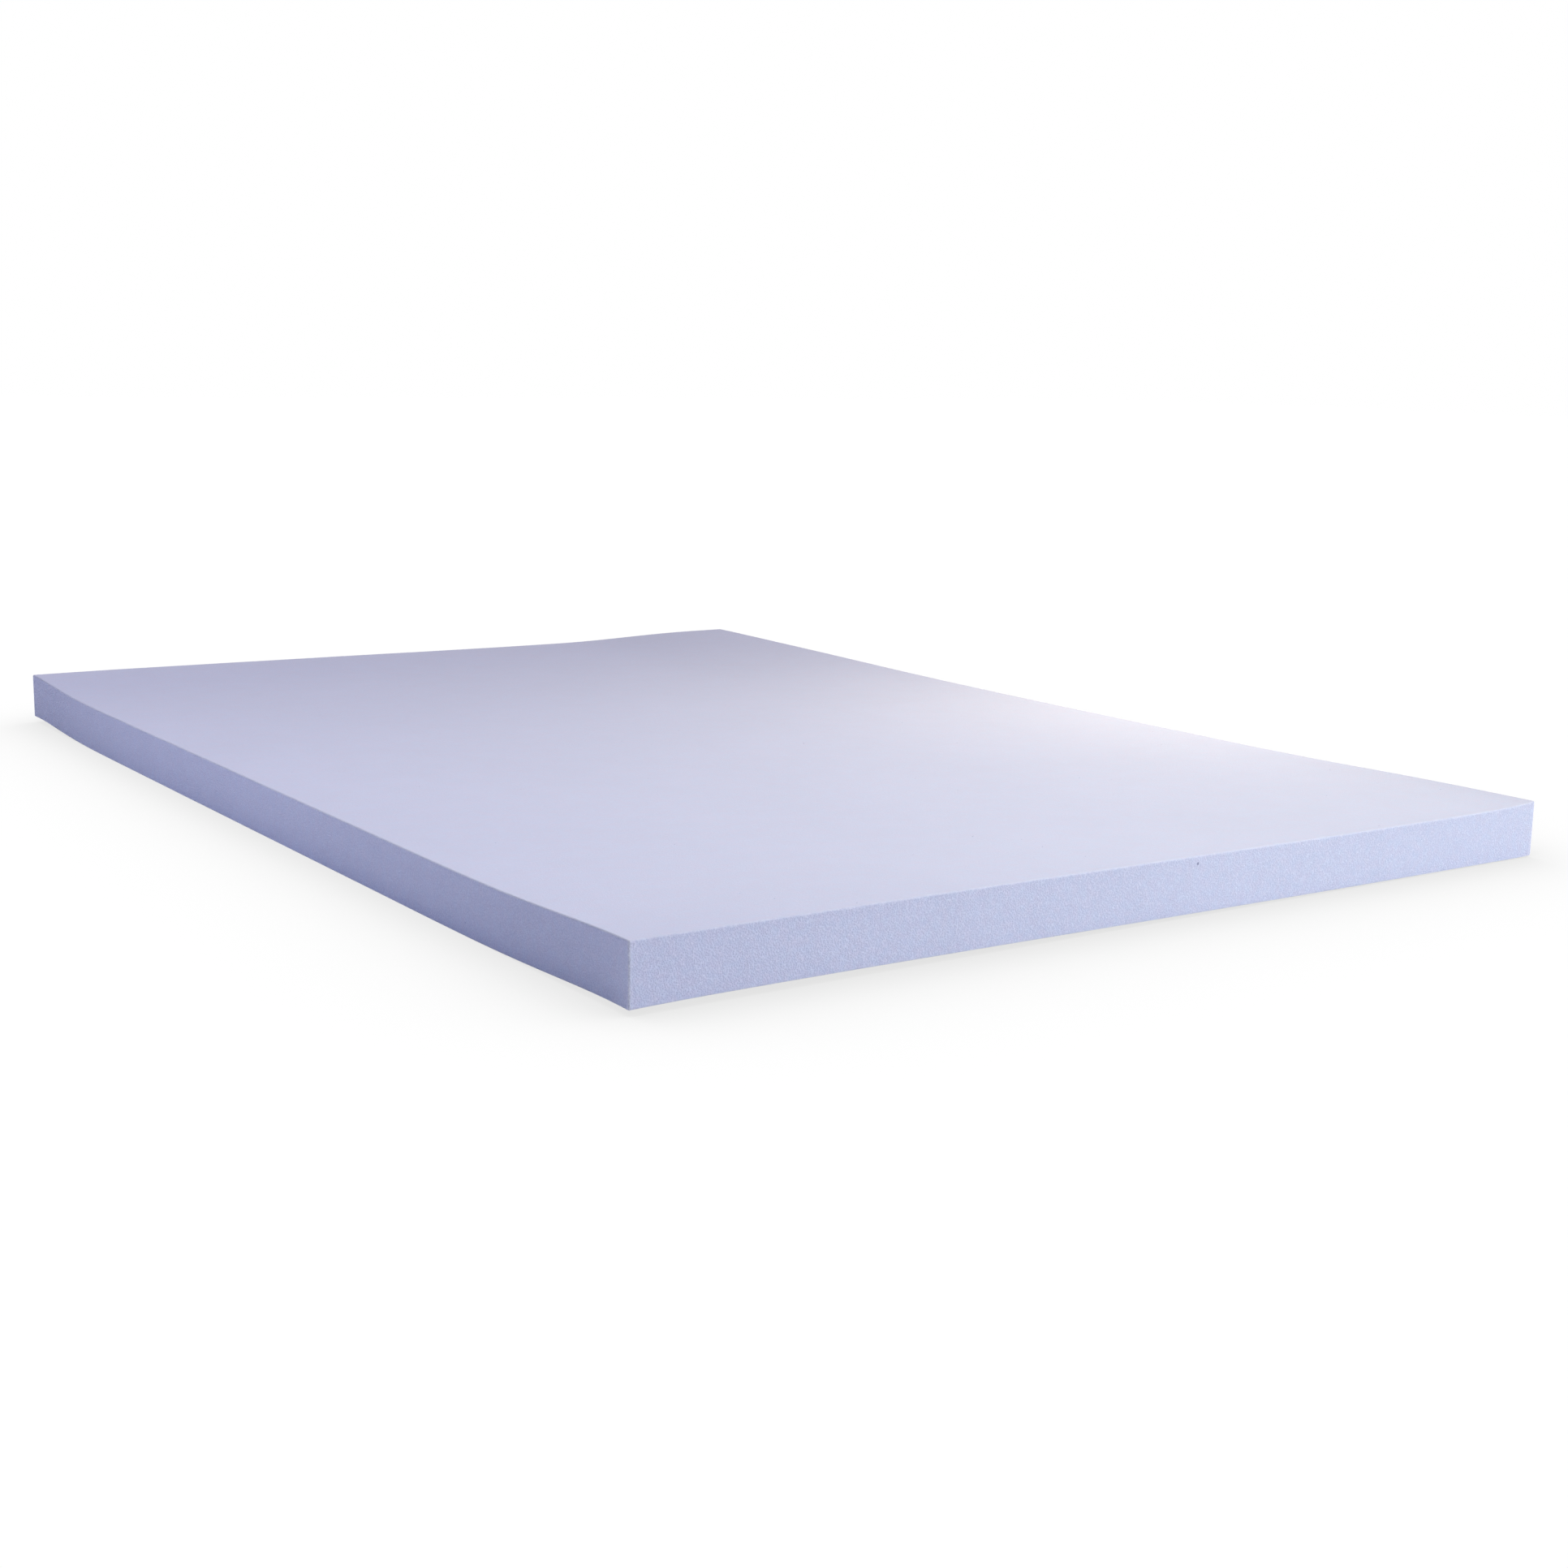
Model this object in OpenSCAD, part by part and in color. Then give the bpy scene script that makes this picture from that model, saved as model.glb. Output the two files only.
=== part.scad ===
// Bare memory foam mattress: a slow-recovery comfort ply glued to a firmer support ply.
// Millimetres. +X is the width, +Y the length, +Z up; the origin is the middle of the underside.

/* [Size] */
// Width of the mattress, side to side
mattress_w = 1400; // [700:10:2000]
// Length of the mattress, head to foot
mattress_l = 2000; // [1200:10:2200]
// Radius of the four upright corners
corner_r = 3; // [3:0.5:20]
// Radius worn on the top and bottom cut edges
edge_r = 2; // [0.5:0.5:3]

/* [Comfort ply] */
// Thickness of the slow-recovery ply that is slept on
comfort_t = 30; // [20:1:80]

/* [Support ply] */
// Thickness of the firmer ply underneath
support_t = 40; // [20:1:150]

/* [Adhesive] */
// Width of one line of adhesive
glue_w = 12; // [4:1:30]
// Thickness of the adhesive, which sinks into the support ply
glue_t = 1; // [0.5:0.1:3]
// Distance between the middles of two lines
glue_pitch = 100; // [40:5:200]
// Foam left clear of adhesive along every side
glue_margin = 60; // [30:5:150]

/* [Hidden] */

foam_colour = [0.80, 0.81, 0.93];
glue_colour = [0.93, 0.90, 0.80];

// Past a face that is cut away, so that no skin is left
over = 1;

mattress_h = support_t + comfort_t;

// The lines fill the width between the two margins, with one on the middle line
lines_each_side = floor((mattress_w / 2 - glue_margin - glue_w / 2) / glue_pitch);
glue_run = mattress_l - 2 * glue_margin;

// Outline of a ply, seen from above
module ply_outline() {
    square([mattress_w - 2 * corner_r, mattress_l], center = true);
    square([mattress_w, mattress_l - 2 * corner_r], center = true);
    for (x = [-1, 1], y = [-1, 1])
        translate([x * (mattress_w / 2 - corner_r), y * (mattress_l / 2 - corner_r)])
            circle(r = corner_r, $fn = 48);
}

// Section of what is cut away along an edge whose face is at z = 0 and whose side is at x = 0
module edge_waste() {
    difference() {
        translate([-edge_r, -edge_r])
            square(edge_r + over);
        translate([-edge_r, -edge_r])
            circle(r = edge_r, $fn = 48);
    }
}

// The waste all the way round the top of a block whose top is at z = 0
module rim_waste() {
    straight_x = mattress_w - 2 * corner_r;
    straight_y = mattress_l - 2 * corner_r;
    for (turn = [0, 180]) {
        rotate(turn)
            translate([mattress_w / 2, straight_y / 2, 0])
                rotate([90, 0, 0])
                    linear_extrude(straight_y)
                        edge_waste();
        rotate(turn + 90)
            translate([mattress_l / 2, straight_x / 2, 0])
                rotate([90, 0, 0])
                    linear_extrude(straight_x)
                        edge_waste();
    }
    for (x = [0, 1], y = [0, 1])
        mirror([x, 0, 0])
            mirror([0, y, 0])
                translate([straight_x / 2, straight_y / 2, 0])
                    rotate_extrude(angle = 90, $fn = 96)
                        translate([corner_r, 0])
                            edge_waste();
}

// One line of adhesive with round ends, standing up from z = 0
module glue_line() {
    linear_extrude(glue_t) {
        square([glue_w, glue_run - glue_w], center = true);
        for (y = [-1, 1])
            translate([0, y * (glue_run - glue_w) / 2])
                circle(d = glue_w, $fn = 48);
    }
}

// Every line, side by side, with its top at the joint between the plies
module glue_pattern() {
    for (i = [-lines_each_side : lines_each_side])
        translate([i * glue_pitch, 0, support_t - glue_t])
            glue_line();
}

module support_layer() {
    color(foam_colour)
        difference() {
            linear_extrude(support_t)
                ply_outline();
            mirror([0, 0, 1])
                rim_waste();
            glue_pattern();
        }
}

module glue_lines() {
    color(glue_colour)
        glue_pattern();
}

module comfort_layer() {
    color(foam_colour)
        difference() {
            translate([0, 0, support_t])
                linear_extrude(comfort_t)
                    ply_outline();
            translate([0, 0, mattress_h])
                rim_waste();
        }
}

support_layer();
glue_lines();
comfort_layer();
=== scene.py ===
"""Bare memory foam mattress: two plies of lavender foam with lines of adhesive between them.

Metres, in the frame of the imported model: +X is the width, +Y the length, +Z up, and the origin
is the middle of the underside.
"""

from math import pi, radians

import bpy
from bpy.props import FloatProperty, FloatVectorProperty, IntProperty, PointerProperty
from mathutils import Matrix, Vector


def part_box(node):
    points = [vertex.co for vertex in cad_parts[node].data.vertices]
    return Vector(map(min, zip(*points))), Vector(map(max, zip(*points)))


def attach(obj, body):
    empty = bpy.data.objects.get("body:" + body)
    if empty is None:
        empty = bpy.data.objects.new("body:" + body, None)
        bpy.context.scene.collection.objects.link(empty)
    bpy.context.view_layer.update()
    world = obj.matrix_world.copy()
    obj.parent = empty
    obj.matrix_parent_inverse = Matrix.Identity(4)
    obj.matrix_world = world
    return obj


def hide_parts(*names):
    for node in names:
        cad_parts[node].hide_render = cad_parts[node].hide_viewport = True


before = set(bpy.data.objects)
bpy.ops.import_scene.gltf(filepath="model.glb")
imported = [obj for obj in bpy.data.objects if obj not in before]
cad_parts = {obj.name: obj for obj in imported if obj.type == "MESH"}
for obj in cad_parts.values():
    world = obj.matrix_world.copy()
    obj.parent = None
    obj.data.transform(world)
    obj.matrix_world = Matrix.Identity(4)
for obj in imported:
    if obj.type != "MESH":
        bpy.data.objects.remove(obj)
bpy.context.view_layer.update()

bl_info = {
    "name": "Memory foam mattress",
    "version": (1, 0, 0),
    "blender": (4, 5, 0),
    "location": "3D View > Sidebar > Mattress",
    "description": "Makes a bare memory foam mattress from its two plies and the adhesive between",
    "category": "Mesh",
}

COMFORT_LOW, COMFORT_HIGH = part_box("comfort_layer")
_, SUPPORT_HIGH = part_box("support_layer")
GLUE_LOW, GLUE_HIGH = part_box("glue_lines")

# The four corners, as signs of X and Y, in the order that the corner sizes are listed in
CORNERS = ((-1, 1), (-1, -1), (1, -1), (1, 1))

# Points of a cut mesh that are closer than this are one point
MERGE_DISTANCE = 0.00002


# ---------------------------------------------------------------- sizes and colours


class SlabSizes(bpy.types.PropertyGroup):
    """Outside sizes of the two plies together."""

    width: FloatProperty(
        name="Width",
        description="Side to side",
        default=COMFORT_HIGH.x - COMFORT_LOW.x,
        unit="LENGTH",
    )
    length: FloatProperty(
        name="Length",
        description="Head to foot",
        default=COMFORT_HIGH.y - COMFORT_LOW.y,
        unit="LENGTH",
    )
    joint: FloatProperty(
        name="Joint",
        description="Height of the joint between the plies",
        default=SUPPORT_HIGH.z,
        unit="LENGTH",
    )
    height: FloatProperty(
        name="Height",
        description="Height of the sleeping face",
        default=COMFORT_HIGH.z,
        unit="LENGTH",
    )
    corner_radius: FloatProperty(
        name="Corner radius",
        description="Radius of the four upright corners",
        default=0.003,
        unit="LENGTH",
    )
    edge_radius: FloatProperty(
        name="Edge radius",
        description="Radius worn on the top and bottom cut edges",
        default=0.002,
        unit="LENGTH",
    )
    cell: FloatProperty(
        name="Mesh cell",
        description="Side of one mesh cell on the flat of a ply",
        default=0.0105,
        unit="LENGTH",
    )
    edge_rows: IntProperty(
        name="Edge rows",
        description="Rows of mesh cells beside every cut edge",
        default=8,
        min=2,
        subtype="UNSIGNED",
    )
    edge_band: FloatProperty(
        name="Edge band",
        description="Width of the fine mesh beside every cut edge",
        default=0.004,
        unit="LENGTH",
    )


class SlabLie(bpy.types.PropertyGroup):
    """How the slab lies: foam that was sent rolled up keeps a little curl at its ends."""

    lift: FloatVectorProperty(
        name="Corner lift",
        description="Height that each corner stands off the floor",
        size=4,
        default=(0.0115, 0.0090, 0.0060, 0.0095),
        unit="LENGTH",
    )
    reach_across: FloatVectorProperty(
        name="Reach across",
        description="How far each corner's lift reaches along the width",
        size=4,
        default=(0.98, 0.85, 0.06, 0.26),
        unit="LENGTH",
    )
    reach_along: FloatVectorProperty(
        name="Reach along",
        description="How far each corner's lift reaches along the length",
        size=4,
        default=(0.17, 0.20, 0.34, 0.60),
        unit="LENGTH",
    )
    fall_across: FloatVectorProperty(
        name="Fall across",
        description="How suddenly each lift ends along the width; 2 is a smooth hump",
        size=4,
        default=(1.7, 2.0, 0.8, 3.0),
        subtype="NONE",
    )
    fall_along: FloatVectorProperty(
        name="Fall along",
        description="How suddenly each lift ends along the length; 2 is a smooth hump",
        size=4,
        default=(1.9, 2.0, 3.0, 2.4),
        subtype="NONE",
    )
    swell: FloatVectorProperty(
        name="Corner swell",
        description="How much the underside of each corner fills out again",
        size=4,
        default=(0.0020, 0.0019, 0.0045, 0.0015),
        unit="LENGTH",
    )
    swell_reach: FloatProperty(
        name="Swell reach",
        description="Distance from a corner over which its swell fades",
        default=0.065,
        unit="LENGTH",
    )
    wave_height: FloatProperty(
        name="Wave height",
        description="How far the cut faces wander from flat",
        default=0.0004,
        unit="LENGTH",
    )
    wave_length: FloatProperty(
        name="Wave length",
        description="Distance over which the cut faces wander",
        default=0.16,
        unit="LENGTH",
    )


class FoamSizes(bpy.types.PropertyGroup):
    """The foam's colour, grain and pores."""

    colour: FloatVectorProperty(
        name="Foam colour",
        description="Colour of the foam in even light",
        subtype="COLOR",
        size=3,
        min=0.0,
        max=1.0,
        default=(0.47, 0.50, 0.76),
    )
    # The edge colour is partly broken cells and partly a painted highlight along the cut edges
    worn_and_highlight_colour: FloatVectorProperty(
        name="Worn colour",
        description="Colour of the torn cells along a cut edge",
        subtype="COLOR",
        size=3,
        min=0.0,
        max=1.0,
        default=(0.66, 0.69, 0.90),
    )
    grain: FloatProperty(
        name="Grain size",
        description="Width of one open cell",
        default=0.0019,
        unit="LENGTH",
    )
    grain_depth: FloatProperty(
        name="Grain depth",
        description="Depth of the open cells",
        default=0.00046,
        unit="LENGTH",
    )
    flat_grain: FloatProperty(
        name="Flat grain",
        description="Grain of the smooth top and underside, as a share of that of the sides",
        default=0.25,
        subtype="FACTOR",
        min=0.0,
        max=1.0,
    )
    roughness: FloatProperty(
        name="Roughness",
        description="Roughness of the foam's surface",
        default=0.95,
        subtype="FACTOR",
        min=0.0,
        max=1.0,
    )
    sheen: FloatProperty(
        name="Sheen",
        description="Pale bloom of the cell walls at a low angle",
        default=0.40,
        subtype="FACTOR",
        min=0.0,
        max=1.0,
    )
    wear_width: FloatProperty(
        name="Wear width",
        description="Distance over which the wear along an edge fades",
        default=0.0024,
        unit="LENGTH",
    )
    # The level edges carry the same painted highlight, with their broken cells, at a lesser share
    level_wear: FloatProperty(
        name="Level wear",
        description="Wear on the level edges, as a share of that on the upright ones",
        default=0.5,
        subtype="FACTOR",
        min=0.0,
        max=1.0,
    )
    pores: FloatProperty(
        name="Pores",
        description="Open pores in each square metre",
        default=26.0,
        min=0.0,
        subtype="UNSIGNED",
    )
    pore_radius: FloatProperty(
        name="Pore radius",
        description="Radius of the largest scattered pore",
        default=0.0012,
        unit="LENGTH",
    )
    large_pore_radius: FloatProperty(
        name="Large pore radius",
        description="Radius of the few large pores",
        default=0.0025,
        unit="LENGTH",
    )
    large_pore_top: FloatVectorProperty(
        name="Large pore on top",
        description="Place of the large pore in the sleeping face",
        size=3,
        subtype="XYZ",
        unit="LENGTH",
        default=(0.113, -0.138, 0.070),
    )
    large_pore_side: FloatVectorProperty(
        name="Large pore at the side",
        description="Place of the large pore in the side at the foot",
        size=3,
        subtype="XYZ",
        unit="LENGTH",
        default=(0.075, -1.0, 0.0605),
    )
    pore_seed: IntProperty(
        name="Pore seed",
        description="Seed that scatters the pores",
        default=7,
        subtype="UNSIGNED",
    )


class AdhesiveSizes(bpy.types.PropertyGroup):
    """The lines of adhesive between the plies."""

    line_width: FloatProperty(
        name="Line width",
        description="Width of one line of adhesive",
        default=0.012,
        unit="LENGTH",
    )
    pitch: FloatProperty(
        name="Pitch",
        description="Distance between the middles of two lines",
        default=0.100,
        unit="LENGTH",
    )
    run: FloatProperty(
        name="Run",
        description="Length of one line",
        default=GLUE_HIGH.y - GLUE_LOW.y,
        unit="LENGTH",
    )
    bottom: FloatProperty(
        name="Bottom",
        description="Height of the underside of the adhesive",
        default=GLUE_LOW.z,
        unit="LENGTH",
    )
    span: FloatProperty(
        name="Span",
        description="From the outside of the first line to the outside of the last",
        default=GLUE_HIGH.x - GLUE_LOW.x,
        unit="LENGTH",
    )
    wander: FloatProperty(
        name="Wander",
        description="How far a line wanders from straight",
        default=0.0008,
        unit="LENGTH",
    )
    colour: FloatVectorProperty(
        name="Adhesive colour",
        description="Colour of the dried adhesive",
        subtype="COLOR",
        size=3,
        min=0.0,
        max=1.0,
        default=(0.84, 0.78, 0.60),
    )


class StageSizes(bpy.types.PropertyGroup):
    """The floor, the lights and the camera."""

    floor_half: FloatProperty(
        name="Floor",
        description="Half the side of the floor",
        default=22.0,
        unit="LENGTH",
    )
    floor_colour: FloatVectorProperty(
        name="Floor colour",
        description="Colour of the floor",
        subtype="COLOR",
        size=3,
        min=0.0,
        max=1.0,
        default=(0.92, 0.92, 0.92),
    )
    shadow_depth: FloatProperty(
        name="Shadow depth",
        description="Depth of the soft shadow where the slab meets the floor",
        default=0.29,
        subtype="FACTOR",
        min=0.0,
        max=1.0,
    )
    shadow_reach: FloatProperty(
        name="Shadow reach",
        description="How far the soft shadow reaches over the floor",
        default=0.4,
        unit="LENGTH",
    )
    lamp_power: FloatVectorProperty(
        name="Lamp power",
        description="Power of the key, overhead, front, left and fill lamps",
        size=5,
        min=0.0,
        default=(4.9, 22.2, 44.2, 18.4, 3.2),
        unit="POWER",
    )
    sky_power: FloatProperty(
        name="Sky power",
        description="Strength of the wide soft light from the right",
        default=1.90,
        min=0.0,
        subtype="UNSIGNED",
    )
    camera_place: FloatVectorProperty(
        name="Camera place",
        description="Where the camera stands",
        size=3,
        subtype="XYZ",
        unit="LENGTH",
        default=(-1.7630, -2.7968, 0.6475),
    )
    camera_turn: FloatVectorProperty(
        name="Camera turn",
        description="Heading to the right of +Y, tilt down, and roll",
        size=3,
        subtype="EULER",
        unit="ROTATION",
        default=(radians(34.708), radians(11.129), radians(1.022)),
    )
    lens: FloatProperty(
        name="Lens",
        description="Focal length in millimetres on a 36 mm sensor",
        default=50.57,
        unit="CAMERA",
    )


class MattressSettings(bpy.types.PropertyGroup):
    """Every size and colour of the mattress and its stage."""

    slab: PointerProperty(type=SlabSizes, name="Slab", description="Outside sizes")
    lie: PointerProperty(type=SlabLie, name="Lie", description="How the slab lies")
    foam: PointerProperty(type=FoamSizes, name="Foam", description="Colour, grain and pores")
    glue: PointerProperty(type=AdhesiveSizes, name="Adhesive", description="Lines of adhesive")
    stage: PointerProperty(type=StageSizes, name="Stage", description="Floor, light, camera")


# ---------------------------------------------------------------- node trees as formulas


class Field:
    """A number that flows through a node tree, so that a rule reads as a formula."""

    def __init__(self, net, socket):
        self.net = net
        self.socket = socket

    def __add__(self, other):
        return self.net.math("ADD", self, other)

    def __sub__(self, other):
        return self.net.math("SUBTRACT", self, other)

    def __rsub__(self, other):
        return self.net.math("SUBTRACT", other, self)

    def __mul__(self, other):
        return self.net.math("MULTIPLY", self, other)

    def __truediv__(self, other):
        return self.net.math("DIVIDE", self, other)

    def __rtruediv__(self, other):
        return self.net.math("DIVIDE", other, self)

    def __pow__(self, other):
        return self.net.math("POWER", self, other)

    def __abs__(self):
        return self.net.math("ABSOLUTE", self)

    __radd__ = __add__
    __rmul__ = __mul__


class Net:
    """Adds nodes to one tree and links them."""

    def __init__(self, tree):
        self.tree = tree

    def node(self, kind, feeds=None, **settings):
        """A new node, with its settings and what flows into its sockets."""
        made = self.tree.nodes.new(kind)
        for key, value in settings.items():
            setattr(made, key, value)
        for socket, value in (feeds or {}).items():
            self.feed(made.inputs[socket], value)
        return made

    def feed(self, socket, value):
        """Links a field or a socket to a socket, or sets the socket to a plain value."""
        if isinstance(value, Field):
            value = value.socket
        if isinstance(value, bpy.types.NodeSocket):
            self.tree.links.new(value, socket)
        else:
            socket.default_value = value

    def math(self, operation, *values):
        feeds = dict(enumerate(values))
        made = self.node("ShaderNodeMath", feeds, operation=operation)
        return Field(self, made.outputs[0])

    def least(self, a, b):
        return self.math("MINIMUM", a, b)

    def most(self, a, b):
        return self.math("MAXIMUM", a, b)

    def above(self, value, limit=0.0):
        """The part of a value that is over a limit, and otherwise nothing."""
        return self.most(value - limit, 0.0)

    def between(self, value, low, high):
        return self.least(self.most(value, low), high)

    def split(self, vector):
        made = self.node("ShaderNodeSeparateXYZ", {0: vector})
        return [Field(self, socket) for socket in made.outputs]

    def join(self, x, y, z):
        return self.node("ShaderNodeCombineXYZ", {0: x, 1: y, 2: z}).outputs[0]

    def stretch(self, vector, scale):
        """A vector times one number for each axis."""
        feeds = {0: vector, 1: scale}
        return self.node("ShaderNodeVectorMath", feeds, operation="MULTIPLY").outputs[0]

    def noise(self, vector, scale, detail=2.0, roughness=0.5):
        """Smooth noise from 0 to 1, and the same as three numbers."""
        feeds = {"Vector": vector, "Scale": scale, "Detail": detail, "Roughness": roughness}
        made = self.node("ShaderNodeTexNoise", feeds)
        return Field(self, made.outputs[0]), made.outputs[1]

    def range(self, value, low, high, new_low=0.0, new_high=1.0):
        """A value carried from one range to another, and held at its ends."""
        feeds = {0: value, 1: low, 2: high, 3: new_low, 4: new_high}
        return Field(self, self.node("ShaderNodeMapRange", feeds).outputs[0])


class GeometryNet(Net):
    """A geometry node tree with named inputs and one mesh out."""

    def __init__(self, name):
        super().__init__(bpy.data.node_groups.new(name, "GeometryNodeTree"))
        self.sockets = {}
        self.entry = self.tree.nodes.new("NodeGroupInput")
        self.tree.interface.new_socket("Mesh", in_out="OUTPUT", socket_type="NodeSocketGeometry")

    def input(self, name, kind="Float", subtype="NONE", description=""):
        """A named input of the tree, as a field."""
        socket = self.tree.interface.new_socket(
            name, in_out="INPUT", socket_type="NodeSocket" + kind
        )
        if subtype != "NONE":
            socket.subtype = subtype
        socket.description = description
        self.sockets[name] = socket
        for out in self.entry.outputs:
            if out.identifier == socket.identifier:
                return Field(self, out)
        raise RuntimeError(f"the tree has no input named {name}")

    def length(self, name, description=""):
        return self.input(name, subtype="DISTANCE", description=description)

    def place(self):
        """The position of a point, as three numbers."""
        return self.split(self.node("GeometryNodeInputPosition").outputs[0])

    def move(self, mesh, x, y, z):
        """The mesh with its points at a new place."""
        feeds = {"Geometry": mesh, "Position": self.join(x, y, z)}
        return self.node("GeometryNodeSetPosition", feeds).outputs[0]

    def group(self, net, values):
        """Another tree as one node of this one. Its inputs are given by name."""
        made = self.node("GeometryNodeGroup", node_tree=net.tree)
        for name, value in values.items():
            for socket in made.inputs:
                if socket.identifier == net.sockets[name].identifier:
                    self.feed(socket, value)
        return made.outputs[0]

    def carve(self, mesh, *tools):
        """The mesh with the tools cut out of it."""
        made = self.node("GeometryNodeMeshBoolean", operation="DIFFERENCE", solver="MANIFOLD")
        self.feed(made.inputs["Mesh 1"], mesh)
        for tool in tools:
            self.feed(made.inputs["Mesh 2"], tool)
        # Points that a cut leaves on top of each other become one
        feeds = {"Geometry": made.outputs[0], "Distance": MERGE_DISTANCE}
        return self.node("GeometryNodeMergeByDistance", feeds).outputs[0]

    def finish(self, mesh):
        self.feed(self.tree.nodes.new("NodeGroupOutput").inputs[0], mesh)
        return self


# ---------------------------------------------------------------- the rules of the shapes


def block_rule():
    """A block on a fine grid, round at its upright corners and along the edges asked for."""
    net = GeometryNet("Cut block")
    width = net.length("Width", "Size along X")
    length = net.length("Length", "Size along Y")
    bottom = net.length("Bottom", "Height of the underside")
    top = net.length("Top", "Height of the top face")
    corner = net.length("Corner radius", "Radius of the upright corners")
    top_edge = net.length("Top edge radius", "Radius along the top edges, or 0 for a sharp edge")
    low_edge = net.length("Low edge radius", "Radius along the low edges, or 0 for a sharp edge")
    band = net.length("Edge band", "Width of the fine mesh beside an edge")
    rows = net.input("Edge rows", "Int", description="Rows of fine mesh in the band")
    cell = net.length("Cell", "Side of one mesh cell on the flat")

    def cells_in(distance):
        """Whole mesh cells that fit in a distance."""
        return net.math("ROUND", distance / cell)

    step = band / rows
    cells_x = cells_in(width - band * 2.0)
    cells_y = cells_in(length - band * 2.0)
    top_band = net.math("GREATER_THAN", top_edge, 0.0)
    low_band = net.math("GREATER_THAN", low_edge, 0.0)
    top_rows = top_band * rows
    low_rows = low_band * rows
    core_z = top - bottom - (top_rows + low_rows) * step
    cells_z = net.most(cells_in(core_z), 1.0)

    steps_x = cells_x + rows * 2.0
    steps_y = cells_y + rows * 2.0
    steps_z = cells_z + top_rows + low_rows
    grid = net.node(
        "GeometryNodeMeshCube",
        {
            "Size": (1.0, 1.0, 1.0),
            "Vertices X": steps_x + 1.0,
            "Vertices Y": steps_y + 1.0,
            "Vertices Z": steps_z + 1.0,
        },
    )
    unit_x, unit_y, unit_z = net.place()

    def spread(unit, steps, cells, half):
        """How far from the middle a grid line lies: even on the flat, close in the band."""
        line = abs(unit) * steps
        core = cells / 2.0
        share = net.least(line, core) / net.most(core, 0.5)
        return share * (half - band) + net.above(line, core) * step

    half_x = width / 2.0
    half_y = length / 2.0
    from_mid_x = spread(unit_x, steps_x, cells_x, half_x)
    from_mid_y = spread(unit_y, steps_y, cells_y, half_y)
    level = net.math("ROUND", (unit_z + 0.5) * steps_z)
    fine = net.least(level, low_rows) + net.above(level - low_rows, cells_z)
    coarse = net.between(level - low_rows, 0.0, cells_z)
    z = bottom + fine * step + coarse * (core_z / cells_z)

    # Round in plan: a square band of width R beside each corner becomes a quarter disc
    over_x = net.above(from_mid_x, half_x - corner)
    over_y = net.above(from_mid_y, half_y - corner)
    reach = net.most(over_x, over_y)
    diagonal = net.most(net.math("SQRT", over_x * over_x + over_y * over_y), 1e-9)

    # Round in section: the same rule between the side and the top or the underside
    upper = net.math("GREATER_THAN", z, (top + bottom) / 2.0)
    radius = upper * top_edge + (1.0 - upper) * low_edge
    outer = upper * top + (1.0 - upper) * bottom
    away = upper * 2.0 - 1.0
    side = net.above(reach, corner - radius)
    rise = net.above(radius, away * (outer - z))
    share = net.most(side, rise) / net.most(net.math("SQRT", side * side + rise * rise), 1e-9)
    new_reach = net.least(reach, corner - radius) + side * share
    new_z = z + away * rise * (share - 1.0)

    pull = new_reach / diagonal
    x = (net.least(from_mid_x, half_x - corner) + over_x * pull) * net.math("SIGN", unit_x)
    y = (net.least(from_mid_y, half_y - corner) + over_y * pull) * net.math("SIGN", unit_y)
    return net.finish(net.move(grid.outputs["Mesh"], x, y, new_z))


# Mesh of one bead, and the scale per metre of the noise that it wanders by
BEAD_ROWS = 4
BEAD_CELL = 0.02
WANDER_SCALE = 6.0


def glue_rule(block):
    """Lines of adhesive side by side, each a flat bead with round ends that wanders a little."""
    net = GeometryNet("Adhesive beads")
    width = net.length("Line width", "Width of one bead")
    run = net.length("Run", "Length of one bead")
    bottom = net.length("Bottom", "Height of the underside")
    top = net.length("Top", "Height of the top")
    pitch = net.length("Pitch", "Distance between two beads")
    span = net.length("Span", "From the outside of the first bead to the outside of the last")
    wander = net.length("Wander", "How far a bead wanders from straight")
    bead = net.group(
        block,
        {
            "Width": width,
            "Length": run,
            "Bottom": bottom,
            "Top": top,
            "Corner radius": width / 2.0,
            "Edge band": width / 2.0,
            "Edge rows": BEAD_ROWS,
            "Cell": BEAD_CELL,
        },
    )
    gaps = net.math("ROUND", (span - width) / pitch)
    row = net.node(
        "GeometryNodeMeshLine",
        {
            "Count": gaps + 1.0,
            "Start Location": net.join(gaps * pitch * -0.5, 0.0, 0.0),
            "Offset": net.join(pitch, 0.0, 0.0),
        },
    )
    beads = net.node(
        "GeometryNodeInstanceOnPoints", {"Points": row.outputs[0], "Instance": bead}
    )
    whole = net.node("GeometryNodeRealizeInstances", {0: beads.outputs[0]}).outputs[0]
    x, y, z = net.place()
    drift, _ = net.noise(net.join(x, y, 0.0), WANDER_SCALE)
    return net.finish(net.move(whole, x + (drift - 0.5) * 2.0 * wander, y, z))


# A pore's size along its three axes, as shares of its radius: the least and the most
PORE_LEAST = (0.5, 0.5, 0.35)
PORE_MOST = (1.0, 1.0, 0.7)
NO_TURN = (0.0, 0.0, 0.0)
FULL_TURN = (2.0 * pi, 2.0 * pi, 2.0 * pi)


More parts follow.
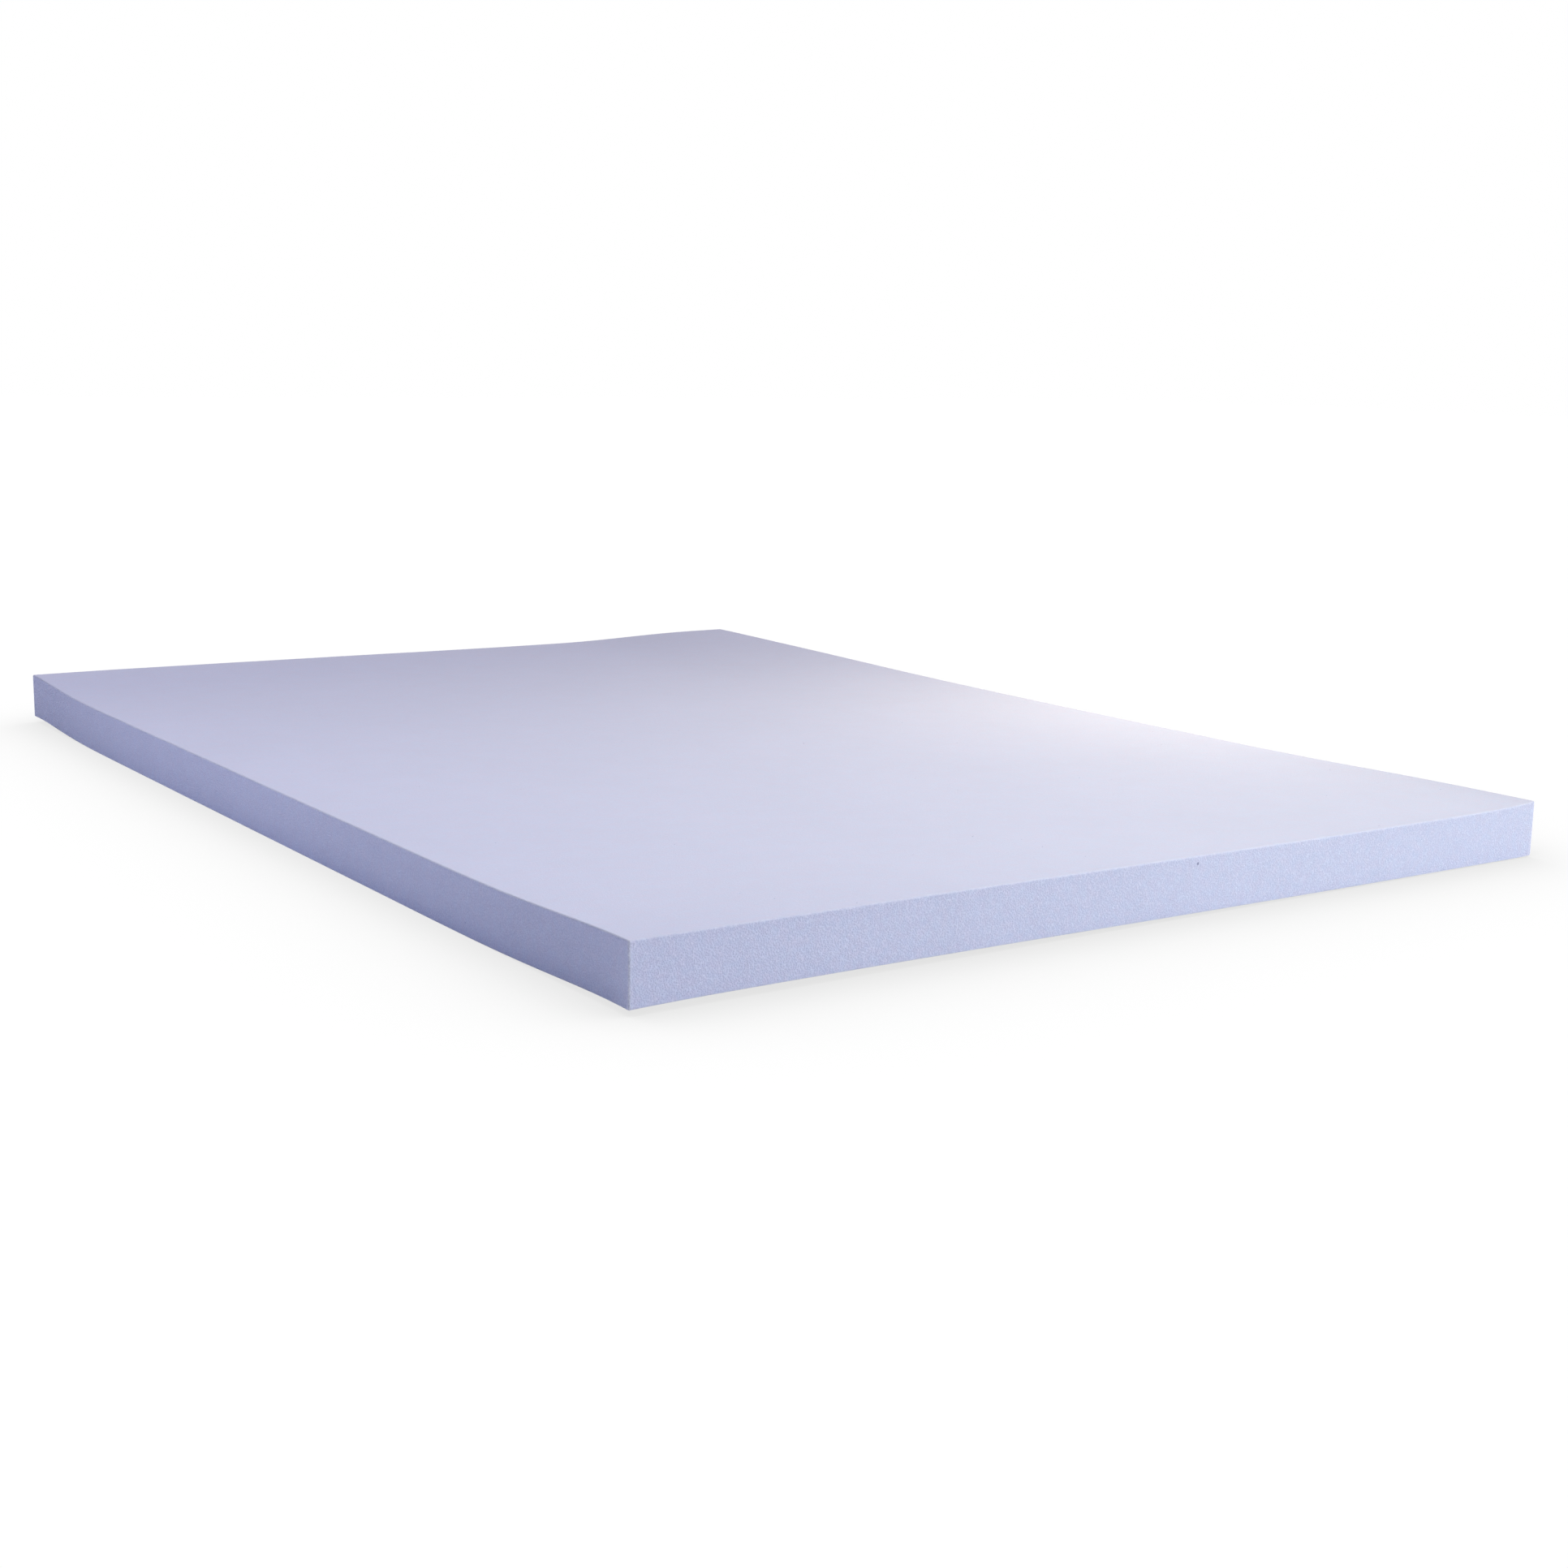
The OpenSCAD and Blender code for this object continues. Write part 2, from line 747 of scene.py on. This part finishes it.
def pore_rule():
    """Open pores: small squashed balls cut out of the faces, scattered and at named places."""
    net = GeometryNet("Open pores")
    mesh = net.input("Mesh", "Geometry")
    low = net.length("Lowest", "No pore is scattered below this height")
    high = net.length("Highest", "No pore is scattered above this height")
    density = net.input("Density", description="Pores in each square metre")
    radius = net.length("Radius", "Radius of the largest scattered pore")
    seed = net.input("Seed", "Int", description="Seed that scatters the pores")
    large = net.length("Large radius", "Radius of the pores at the named places")
    first = net.input("First place", "Vector", description="Place of a large pore")
    second = net.input("Second place", "Vector", description="Place of a large pore")

    _, _, z = net.place()
    inside = net.math("GREATER_THAN", z, low) * net.math("LESS_THAN", z, high)
    scattered = net.node(
        "GeometryNodeDistributePointsOnFaces",
        {"Mesh": mesh, "Selection": inside, "Density": density, "Seed": seed},
    )
    random_size = net.node(
        "FunctionNodeRandomValue",
        {0: PORE_LEAST, 1: PORE_MOST, "Seed": seed + 1.0},
        data_type="FLOAT_VECTOR",
    )
    random_turn = net.node(
        "FunctionNodeRandomValue",
        {0: NO_TURN, 1: FULL_TURN, "Seed": seed + 2.0},
        data_type="FLOAT_VECTOR",
    )

    def cut_balls(points, size, detail):
        """A squashed and turned ball at each point, real and ready to cut with."""
        ball = net.node("GeometryNodeMeshIcoSphere", {"Radius": size, "Subdivisions": detail})
        balls = net.node(
            "GeometryNodeInstanceOnPoints",
            {
                "Points": points,
                "Instance": ball.outputs[0],
                "Rotation": random_turn.outputs[0],
                "Scale": random_size.outputs[0],
            },
        )
        return net.node("GeometryNodeRealizeInstances", {0: balls.outputs[0]}).outputs[0]

    named = net.node("GeometryNodeJoinGeometry")
    for place in (first, second):
        point = net.node("GeometryNodePoints", {"Count": 1, "Position": place})
        net.feed(named.inputs[0], point.outputs[0])
    small_balls = cut_balls(scattered.outputs["Points"], radius, 2)
    large_balls = cut_balls(named.outputs[0], large, 3)
    return net.finish(net.carve(mesh, small_balls, large_balls))


# An edge that turns by more than this stays sharp in the shading
CREASE_ANGLE = radians(40.0)


def lie_rule():
    """The slab as it lies: its corners curl off the floor, and its cut faces wander a little."""
    net = GeometryNet("Lie of the slab")
    mesh = net.input("Mesh", "Geometry")
    width = net.length("Width", "Width of the slab")
    length = net.length("Length", "Length of the slab")
    height = net.length("Height", "Height of the sleeping face")
    swell_reach = net.length("Swell reach", "Distance over which a corner's swell fades")
    wave_height = net.length("Wave height", "How far the faces wander")
    wave_length = net.length("Wave length", "Distance over which they wander")
    wear_width = net.length("Wear width", "Distance over which the edge wear fades")
    level_wear = net.input("Level wear", description="Share of the wear on the level edges")
    position = net.node("GeometryNodeInputPosition").outputs[0]
    x, y, z = net.split(position)

    # The pale edge mark, partly broken cells along the cut and partly a painted highlight on the
    # rounded edges, fades with the distance from an edge, and is stronger on the upright ones
    to_side = width / 2.0 - abs(x)
    to_end = length / 2.0 - abs(y)
    to_face = net.least(z, height - z)

    def fading(distance):
        """The pale edge mark, partly a painted highlight, left at a distance from an edge."""
        return net.math("EXPONENT", net.above(distance) / wear_width * -1.0)

    upright = fading(net.most(to_side, to_end))
    level = fading(net.most(net.least(to_side, to_end), to_face))
    wear_and_highlight = net.most(upright, level * level_wear)
    # The sides are sawn, and the top and underside are cut smooth
    sawn = net.between(to_face / wear_width, 0.0, 1.0)
    marked = mesh
    for name, value in (("wear_and_highlight", wear_and_highlight), ("sawn", sawn)):
        feeds = {"Geometry": marked, "Name": name, "Value": value}
        marked = net.node("GeometryNodeStoreNamedAttribute", feeds, data_type="FLOAT").outputs[0]

    rise = None
    for index, (sign_x, sign_y) in enumerate(CORNERS, start=1):
        lift = net.length(f"Lift {index}", "Height of this corner off the floor")
        swell = net.length(f"Swell {index}", "How much its underside fills out")
        reach_across = net.length(f"Reach across {index}", "Reach of the lift along X")
        reach_along = net.length(f"Reach along {index}", "Reach of the lift along Y")
        fall_across = net.input(f"Fall across {index}", description="Power of the fall along X")
        fall_along = net.input(f"Fall along {index}", description="Power of the fall along Y")
        inward = net.above(width / 2.0 - x * sign_x)
        onward = net.above(length / 2.0 - y * sign_y)
        across, along = inward / reach_across, onward / reach_along
        hump = net.math("EXPONENT", (across**fall_across + along**fall_along) * -1.0)
        near = net.math("EXPONENT", (inward + onward) / swell_reach * -1.0)
        part = lift * hump - swell * near * (1.0 - z / height)
        rise = part if rise is None else rise + part

    # The underside stays flat on the floor, so the wander grows upwards from it
    _, waves = net.noise(position, 1.0 / wave_length, detail=1.0)
    wave_x, wave_y, wave_z = [(wave - 0.5) * 2.0 * wave_height for wave in net.split(waves)]
    lain = net.move(marked, x + wave_x, y + wave_y, z + wave_z * (z / height) + rise)
    smooth = net.node("GeometryNodeSetShadeSmooth", {"Geometry": lain, "Shade Smooth": True})
    angle = Field(net, net.node("GeometryNodeInputMeshEdgeAngle").outputs[0])
    creased = net.node(
        "GeometryNodeSetShadeSmooth",
        {
            "Geometry": smooth.outputs[0],
            "Selection": net.math("GREATER_THAN", angle, CREASE_ANGLE),
            "Shade Smooth": False,
        },
        domain="EDGE",
    )
    return net.finish(creased.outputs[0])


def dressed(net, mesh):
    """Ends a piece's tree: instances made real, and the finish put on."""
    finish = net.input("Finish", "Material", description="Material of the piece")
    real = net.node("GeometryNodeRealizeInstances", {0: mesh})
    coated = net.node("GeometryNodeSetMaterial", {"Geometry": real.outputs[0], "Material": finish})
    return net.finish(coated.outputs[0])


# ---------------------------------------------------------------- values for the rules


def lie_values(settings):
    """The lie of the slab, by the names of its rule's inputs."""
    slab, lie = settings.slab, settings.lie
    values = {
        "Width": slab.width,
        "Length": slab.length,
        "Height": slab.height,
        "Swell reach": lie.swell_reach,
        "Wave height": lie.wave_height,
        "Wave length": lie.wave_length,
        "Wear width": settings.foam.wear_width,
        "Level wear": settings.foam.level_wear,
    }
    by_corner = {
        "Lift": lie.lift,
        "Swell": lie.swell,
        "Reach across": lie.reach_across,
        "Reach along": lie.reach_along,
        "Fall across": lie.fall_across,
        "Fall along": lie.fall_along,
    }
    for name, sizes in by_corner.items():
        for number, size in enumerate(sizes, start=1):
            values[f"{name} {number}"] = size
    return values


def block_values(settings, bottom, top, top_edge, low_edge):
    """One ply as a block, by the names of its rule's inputs."""
    slab = settings.slab
    return {
        "Width": slab.width,
        "Length": slab.length,
        "Bottom": bottom,
        "Top": top,
        "Corner radius": slab.corner_radius,
        "Top edge radius": top_edge,
        "Low edge radius": low_edge,
        "Edge band": slab.edge_band,
        "Edge rows": slab.edge_rows,
        "Cell": slab.cell,
    }


def glue_values(settings, top):
    """The lines of adhesive up to a height, by the names of their rule's inputs."""
    glue = settings.glue
    return {
        "Line width": glue.line_width,
        "Run": glue.run,
        "Bottom": glue.bottom,
        "Top": top,
        "Pitch": glue.pitch,
        "Span": glue.span,
        "Wander": glue.wander,
    }


def pore_values(settings, low, high):
    """The pores between two heights, by the names of their rule's inputs."""
    foam = settings.foam
    return {
        "Lowest": low,
        "Highest": high,
        "Density": foam.pores,
        "Radius": foam.pore_radius,
        "Seed": foam.pore_seed,
        "Large radius": foam.large_pore_radius,
        "First place": foam.large_pore_top,
        "Second place": foam.large_pore_side,
    }


class Recipe:
    """A piece's own tree: rules as group nodes, with every size as a named input."""

    def __init__(self, name):
        self.net = GeometryNet(name)
        self.values = {}

    def apply(self, rule, values, label="", **meshes):
        """Adds a rule, with an input of the piece's tree for each of its values."""
        feeds = dict(meshes)
        for name, value in values.items():
            own_name = f"{label} {name}".strip()
            source = rule.sockets[name]
            kind = source.socket_type.removeprefix("NodeSocket")
            field = self.net.input(own_name, kind, description=source.description)
            if kind == "Float":
                self.net.sockets[own_name].subtype = source.subtype
            self.values[own_name] = value
            feeds[name] = field
        return self.net.group(rule, feeds)

    def make(self, mesh, name, material):
        """Runs the tree on an empty mesh and keeps what comes out as a plain mesh."""
        dressed(self.net, mesh)
        self.values["Finish"] = material
        piece = bpy.data.objects.new(name, bpy.data.meshes.new(name))
        bpy.context.scene.collection.objects.link(piece)
        modifier = piece.modifiers.new(name, "NODES")
        modifier.node_group = self.net.tree
        for own_name, value in self.values.items():
            if isinstance(value, Vector):
                value = tuple(value)
            modifier[self.net.sockets[own_name].identifier] = value
        graph = bpy.context.evaluated_depsgraph_get()
        made = bpy.data.meshes.new_from_object(piece.evaluated_get(graph), depsgraph=graph)
        piece.modifiers.remove(modifier)
        blank = piece.data
        piece.data = made
        bpy.data.meshes.remove(blank)
        made.name = name
        if not made.polygons:
            raise RuntimeError(f"{name} came out empty")
        return piece


RULES = {}


def rule(name, build):
    """Builds a rule's tree once and keeps it."""
    if name not in RULES:
        RULES[name] = build()
    return RULES[name]


def shared_rules():
    """The trees of the block, the beads, the pores and the lie, which the pieces share."""
    block = rule("block", block_rule)
    beads = rule("beads", lambda: glue_rule(block))
    return block, beads, rule("pores", pore_rule), rule("lie", lie_rule)


# ---------------------------------------------------------------- finishes


def shader(name):
    """A new material, its node helper and its main shader."""
    material = bpy.data.materials.new(name)
    material.use_nodes = True
    net = Net(material.node_tree)
    return material, net, material.node_tree.nodes["Principled BSDF"]


def blend(net, share, low, high):
    """A colour between two colours."""
    feeds = {"Factor": share, "A": low, "B": high}
    made = net.tree.nodes.new("ShaderNodeMix")
    made.data_type = "RGBA"
    for socket in made.inputs:
        if socket.name in feeds and socket.enabled:
            net.feed(socket, feeds[socket.name])
    return [socket for socket in made.outputs if socket.enabled][0]


def brighten(net, colour, factor):
    """A colour times a number."""
    feeds = {0: colour, "Scale": factor}
    return net.node("ShaderNodeVectorMath", feeds, operation="SCALE").outputs[0]


# Sizes of the foam's marks: as shares of a cell's frequency, or per metre
BLOTCH_SCALE = 0.75
FINE_SCALE = 2.6
CLOUD_SCALE = 4.0
BAND_SCALE = (22.0, 22.0, 1.5)
TINT_SCALE = 90.0
# How far each mark lightens or darkens the foam; the wall mark paints shade into the pits, and the
# glint mark paints highlights
PAINTED_PIT_SHADE = 0.26
BLOTCH_SHADE = 0.16
FINE_SHADE = 0.14
PAINTED_GLINT_SHADE = 0.6
CLOUD_SHADE = 0.06
BAND_SHADE = 0.04
# Light that bounces inside a pit comes out a deeper colour, so red changes most and blue least
PIT_SHARES = (1.3, 1.2, 0.7)
COOL_SHIFT = (0.985, 1.01, 1.01)
WARM_SHIFT = (1.015, 0.99, 0.99)


def shifted(colour, shift):
    """An opaque colour with each of its parts multiplied."""
    return (*(part * factor for part, factor in zip(colour, shift)), 1.0)


def foam_finish(name, foam):
    """Cut foam: open cells, a pale edge colour that is partly broken cells and partly a painted
    highlight, painted glint points and painted shade in the pits, a soft bloom at a low angle.
    """
    material, net, surface = shader(name)
    place = net.node("ShaderNodeTexCoord").outputs["Object"]
    # The edge mark: partly broken cells, partly a painted highlight along the edges
    wear_and_highlight = Field(net, net.node("ShaderNodeAttribute", attribute_name="wear_and_highlight").outputs["Fac"])
    sawn = Field(net, net.node("ShaderNodeAttribute", attribute_name="sawn").outputs["Fac"])
    # The sawn sides show their open cells, and the flat faces are cut smoother
    open_cut = foam.flat_grain + sawn * (1.0 - foam.flat_grain)

    grain_scale = 1.0 / foam.grain
    blotches, _ = net.noise(place, grain_scale * BLOTCH_SCALE, detail=2.5, roughness=0.6)
    fine, _ = net.noise(place, grain_scale * FINE_SCALE, detail=1.0)
    cells = net.node("ShaderNodeTexVoronoi", {"Vector": place, "Scale": grain_scale})
    wall = Field(net, cells.outputs["Distance"])
    pick = net.split(cells.outputs["Color"])[0]
    # Painted glint points: bright dots in the colour that stand in for light caught by the cell
    # walls
    painted_glints = net.range(pick, 0.86, 1.0) * net.range(wall, 0.40, 0.12)
    clouds, _ = net.noise(place, CLOUD_SCALE, detail=3.0)
    bands, _ = net.noise(net.stretch(place, BAND_SCALE), 1.0, detail=1.0)
    # The cell walls are painted lighter and the pits darker and deeper in colour: painted shade in
    # the pits, over the foam's own grain
    grain_and_painted_light = (wall - 0.5) * PAINTED_PIT_SHADE + (blotches - 0.5) * BLOTCH_SHADE
    grain_and_painted_light = grain_and_painted_light + (fine - 0.5) * FINE_SHADE + painted_glints * PAINTED_GLINT_SHADE
    grain_and_painted_light = grain_and_painted_light * open_cut
    tone = 1.0 + (clouds - 0.5) * CLOUD_SHADE + (bands - 0.5) * BAND_SHADE
    deepened = net.join(*(tone + grain_and_painted_light * share for share in PIT_SHARES))

    tint, _ = net.noise(place, TINT_SCALE, detail=1.0)
    cool = shifted(foam.colour, COOL_SHIFT)
    warm = shifted(foam.colour, WARM_SHIFT)
    body = blend(net, net.range(tint, 0.35, 0.65), cool, warm)
    # The pale edge colour, partly broken cells and partly a painted highlight, put on along the
    # edges
    torn_and_lit = net.range(wear_and_highlight * (0.6 + blotches * 0.8), 0.15, 0.9)
    base = blend(net, torn_and_lit, body, (*foam.worn_and_highlight_colour, 1.0))
    net.feed(surface.inputs["Base Color"], net.stretch(base, deepened))
    rough = net.range(blotches, 0.3, 0.7, foam.roughness - 0.06, foam.roughness + 0.04)
    net.feed(surface.inputs["Roughness"], rough)
    surface.inputs["Specular IOR Level"].default_value = 0.2
    surface.inputs["Sheen Weight"].default_value = foam.sheen
    surface.inputs["Sheen Roughness"].default_value = 0.5
    relief = (wall + blotches * 0.5 + fine * 0.35) * open_cut
    bump = net.node(
        "ShaderNodeBump", {"Strength": 1.0, "Distance": foam.grain_depth, "Height": relief}
    )
    net.feed(surface.inputs["Normal"], bump.outputs[0])
    return material


# Patches and bubbles of the adhesive per metre, its colour where it is thick, and its relief
PATCH_SCALE = 60.0
BUBBLE_SCALE = 900.0
THICK_ADHESIVE = (0.92, 0.86, 0.70, 1.0)
ADHESIVE_RELIEF = 0.0002


def adhesive_finish(name, glue):
    """Dried contact adhesive: cream, uneven, with a dull gloss and tiny bubbles."""
    material, net, surface = shader(name)
    place = net.node("ShaderNodeTexCoord").outputs["Object"]
    patches, _ = net.noise(place, PATCH_SCALE, detail=3.0)
    bubbles = net.node("ShaderNodeTexVoronoi", {"Vector": place, "Scale": BUBBLE_SCALE})
    bubble = Field(net, bubbles.outputs["Distance"])
    tone = 0.9 + patches * 0.2
    thick = blend(net, patches, (*glue.colour, 1.0), THICK_ADHESIVE)
    net.feed(surface.inputs["Base Color"], brighten(net, thick, tone))
    net.feed(surface.inputs["Roughness"], net.range(patches, 0.3, 0.7, 0.35, 0.55))
    relief = patches + bubble * 0.5
    bump = net.node(
        "ShaderNodeBump", {"Strength": 1.0, "Distance": ADHESIVE_RELIEF, "Height": relief}
    )
    net.feed(surface.inputs["Normal"], bump.outputs[0])
    return material


# How quickly the shadow on the floor reaches its depth, as less of the sky is seen
SHADOW_RISE = 2.1
# Just over white, so that the open floor shows no noise
FLOOR_GLOW = 1.01


def floor_finish(stage):
    """White studio floor: it gives back light evenly, and shows white but for a soft shadow."""
    material, net, surface = shader("studio floor")
    surface.inputs["Base Color"].default_value = (*stage.floor_colour, 1.0)
    surface.inputs["Roughness"].default_value = 1.0
    surface.inputs["Specular IOR Level"].default_value = 0.0
    open_sky = net.node(
        "ShaderNodeAmbientOcclusion", {"Distance": stage.shadow_reach}, samples=16
    )
    # The shadow deepens quickly near the slab and then no further
    hidden = (1.0 - Field(net, open_sky.outputs["AO"])) * SHADOW_RISE
    shade = (1.0 - net.math("EXPONENT", hidden * -1.0)) * stage.shadow_depth
    shown = net.node("ShaderNodeEmission", {"Strength": FLOOR_GLOW - shade})
    seen = net.node("ShaderNodeLightPath").outputs["Is Camera Ray"]
    both = net.node(
        "ShaderNodeMixShader", {0: seen, 1: surface.outputs[0], 2: shown.outputs[0]}
    )
    net.feed(material.node_tree.nodes["Material Output"].inputs["Surface"], both.outputs[0])
    return material


# ---------------------------------------------------------------- operators


class MATTRESS_OT_support_ply(bpy.types.Operator):
    """Make the firm ply underneath, with the grooves that its adhesive fills"""

    bl_idname = "mattress.support_ply"
    bl_label = "Support ply"

    def execute(self, context):
        settings = context.scene.mattress
        slab = settings.slab
        block, beads, pores, lie = shared_rules()
        recipe = Recipe("Support ply")
        blank_values = block_values(settings, 0.0, slab.joint, 0.0, slab.edge_radius)
        blank = recipe.apply(block, blank_values)
        # The cutters stand above the joint, so that no skin of foam is left over a groove
        clear_of_joint = slab.joint + settings.glue.line_width
        cutters = recipe.apply(beads, glue_values(settings, clear_of_joint), "Groove")
        grooved = recipe.net.carve(blank, cutters)
        below_joint = slab.joint - 2.0 * settings.foam.pore_radius
        # Both named pores are up in the comfort ply, so they cut nothing here
        pore_sizes = pore_values(settings, -slab.height, below_joint)
        pierced = recipe.apply(pores, pore_sizes, "Pore", Mesh=grooved)
        lain = recipe.apply(lie, lie_values(settings), "Lie", Mesh=pierced)
        piece = recipe.make(lain, "support_ply", foam_finish("support foam", settings.foam))
        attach(piece, "root")
        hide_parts("support_layer")
        return {"FINISHED"}


class MATTRESS_OT_adhesive(bpy.types.Operator):
    """Make the lines of adhesive that join the plies"""

    bl_idname = "mattress.adhesive"
    bl_label = "Adhesive lines"

    def execute(self, context):
        settings = context.scene.mattress
        _, beads, _, lie = shared_rules()
        recipe = Recipe("Adhesive lines")
        flat = recipe.apply(beads, glue_values(settings, settings.slab.joint), "Bead")
        lain = recipe.apply(lie, lie_values(settings), "Lie", Mesh=flat)
        piece = recipe.make(lain, "adhesive_lines", adhesive_finish("adhesive", settings.glue))
        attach(piece, "root")
        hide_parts("glue_lines")
        return {"FINISHED"}


class MATTRESS_OT_comfort_ply(bpy.types.Operator):
    """Make the slow-recovery ply that is slept on"""

    bl_idname = "mattress.comfort_ply"
    bl_label = "Comfort ply"

    def execute(self, context):
        settings = context.scene.mattress
        slab = settings.slab
        block, _, pores, lie = shared_rules()
        recipe = Recipe("Comfort ply")
        blank = recipe.apply(
            block, block_values(settings, slab.joint, slab.height, slab.edge_radius, 0.0)
        )
        above_joint = slab.joint + 2.0 * settings.foam.pore_radius
        pore_sizes = pore_values(settings, above_joint, 2.0 * slab.height)
        pierced = recipe.apply(pores, pore_sizes, "Pore", Mesh=blank)
        lain = recipe.apply(lie, lie_values(settings), "Lie", Mesh=pierced)
        piece = recipe.make(lain, "comfort_ply", foam_finish("comfort foam", settings.foam))
        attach(piece, "root")
        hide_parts("comfort_layer")
        return {"FINISHED"}


class MATTRESS_OT_stage(bpy.types.Operator):
    """Make the plain studio: floor, soft light and camera"""

    bl_idname = "mattress.stage"
    bl_label = "Studio"

    def execute(self, context):
        stage = context.scene.mattress.stage
        lay_floor(stage)
        light_studio(stage)
        stand_camera(stage)
        context.scene.view_settings.view_transform = "Standard"
        return {"FINISHED"}


def lay_floor(stage):
    """A wide square floor under the slab."""
    half = stage.floor_half
    corners = [(-half, -half, 0.0), (half, -half, 0.0), (half, half, 0.0), (-half, half, 0.0)]
    mesh = bpy.data.meshes.new("floor")
    mesh.from_pydata(corners, [], [(0, 1, 2, 3)])
    mesh.materials.append(floor_finish(stage))
    floor = bpy.data.objects.new("floor", mesh)
    bpy.context.scene.collection.objects.link(floor)


# Name, place, the point it looks at, side and tint of each lamp
LAMPS = (
    ("key", (0.95, -0.15, 0.70), (0.95, -0.15, 0.0), 0.5, (1.0, 0.86, 0.47)),
    ("overhead", (0.10, -0.90, 1.80), (0.10, -0.70, 0.0), 1.4, (1.0, 0.96, 0.64)),
    ("front", (1.20, -3.20, 1.00), (0.0, -1.0, 0.0), 1.4, (0.93, 1.0, 0.80)),
    ("left", (-2.40, 0.40, 0.80), (-0.70, 0.20, 0.0), 1.6, (0.92, 0.93, 1.0)),
    ("fill", (-2.40, -0.90, 0.80), (-0.70, -0.50, 0.0), 1.6, (0.24, 0.42, 1.0)),
)
SKY_TINT = (0.85, 0.80, 1.0, 1.0)
WHITE = (1.0, 1.0, 1.0, 1.0)
SENSOR_WIDTH = 36.0


def area_lamp(name, place, aim, size, power, colour):
    """A soft square lamp that looks at a point."""
    data = bpy.data.lights.new(name, "AREA")
    data.size = size
    data.energy = power
    data.color = colour
    lamp = bpy.data.objects.new(name, data)
    lamp.location = place
    lamp.rotation_euler = (Vector(aim) - Vector(place)).to_track_quat("-Z", "Y").to_euler()
    lamp.visible_camera = False
    bpy.context.scene.collection.objects.link(lamp)
    return lamp


def light_studio(stage):
    """Five soft lamps, and a wide dim light from the right. The backdrop itself shows white."""
    for (name, place, aim, size, tint), power in zip(LAMPS, stage.lamp_power):
        area_lamp(name, place, aim, size, power, tint)
    world = bpy.data.worlds.new("studio")
    bpy.context.scene.world = world
    world.use_nodes = True
    net = Net(world.node_tree)
    sky = world.node_tree.nodes["Background"]
    x, _, _ = net.split(net.node("ShaderNodeTexCoord").outputs["Generated"])
    sky.inputs["Color"].default_value = SKY_TINT
    net.feed(sky.inputs["Strength"], net.above(x) * stage.sky_power)
    backdrop = net.node("ShaderNodeBackground")
    seen = net.node("ShaderNodeLightPath").outputs["Is Camera Ray"]
    both = net.node(
        "ShaderNodeMixShader", {0: seen, 1: sky.outputs[0], 2: backdrop.outputs[0]}
    )
    backdrop.inputs["Color"].default_value = WHITE
    net.feed(world.node_tree.nodes["World Output"].inputs["Surface"], both.outputs[0])


def stand_camera(stage):
    """A plain camera that looks down at the slab from its near left corner."""
    heading, tilt, roll = stage.camera_turn
    data = bpy.data.cameras.new("camera")
    data.sensor_width = SENSOR_WIDTH
    data.lens = stage.lens
    camera = bpy.data.objects.new("camera", data)
    turn = (
        Matrix.Rotation(-heading, 4, "Z")
        @ Matrix.Rotation(pi / 2.0 - tilt, 4, "X")
        @ Matrix.Rotation(roll, 4, "Z")
    )
    camera.matrix_world = Matrix.Translation(stage.camera_place) @ turn
    bpy.context.scene.collection.objects.link(camera)
    bpy.context.scene.camera = camera


# ---------------------------------------------------------------- panel and start

OPERATORS = (
    MATTRESS_OT_support_ply,
    MATTRESS_OT_adhesive,
    MATTRESS_OT_comfort_ply,
    MATTRESS_OT_stage,
)


class MATTRESS_PT_panel(bpy.types.Panel):
    """Lists the pieces of the mattress and their sizes"""

    bl_idname = "MATTRESS_PT_panel"
    bl_label = "Memory foam mattress"
    bl_space_type = "VIEW_3D"
    bl_region_type = "UI"
    bl_category = "Mattress"

    def draw(self, context):
        settings = context.scene.mattress
        for operator in OPERATORS:
            self.layout.operator(operator.bl_idname)
        for group_name in settings.__annotations__:
            group = getattr(settings, group_name)
            box = self.layout.box()
            for size_name in group.__annotations__:
                box.prop(group, size_name)


CLASSES = (
    SlabSizes,
    SlabLie,
    FoamSizes,
    AdhesiveSizes,
    StageSizes,
    MattressSettings,
    *OPERATORS,
    MATTRESS_PT_panel,
)


def register():
    for item in CLASSES:
        bpy.utils.register_class(item)
    bpy.types.Scene.mattress = PointerProperty(type=MattressSettings)


def unregister():
    del bpy.types.Scene.mattress
    for item in reversed(CLASSES):
        bpy.utils.unregister_class(item)


def main():
    register()
    bpy.ops.mattress.support_ply()
    bpy.ops.mattress.adhesive()
    bpy.ops.mattress.comfort_ply()
    bpy.ops.mattress.stage()


if __name__ == "__main__":
    main()
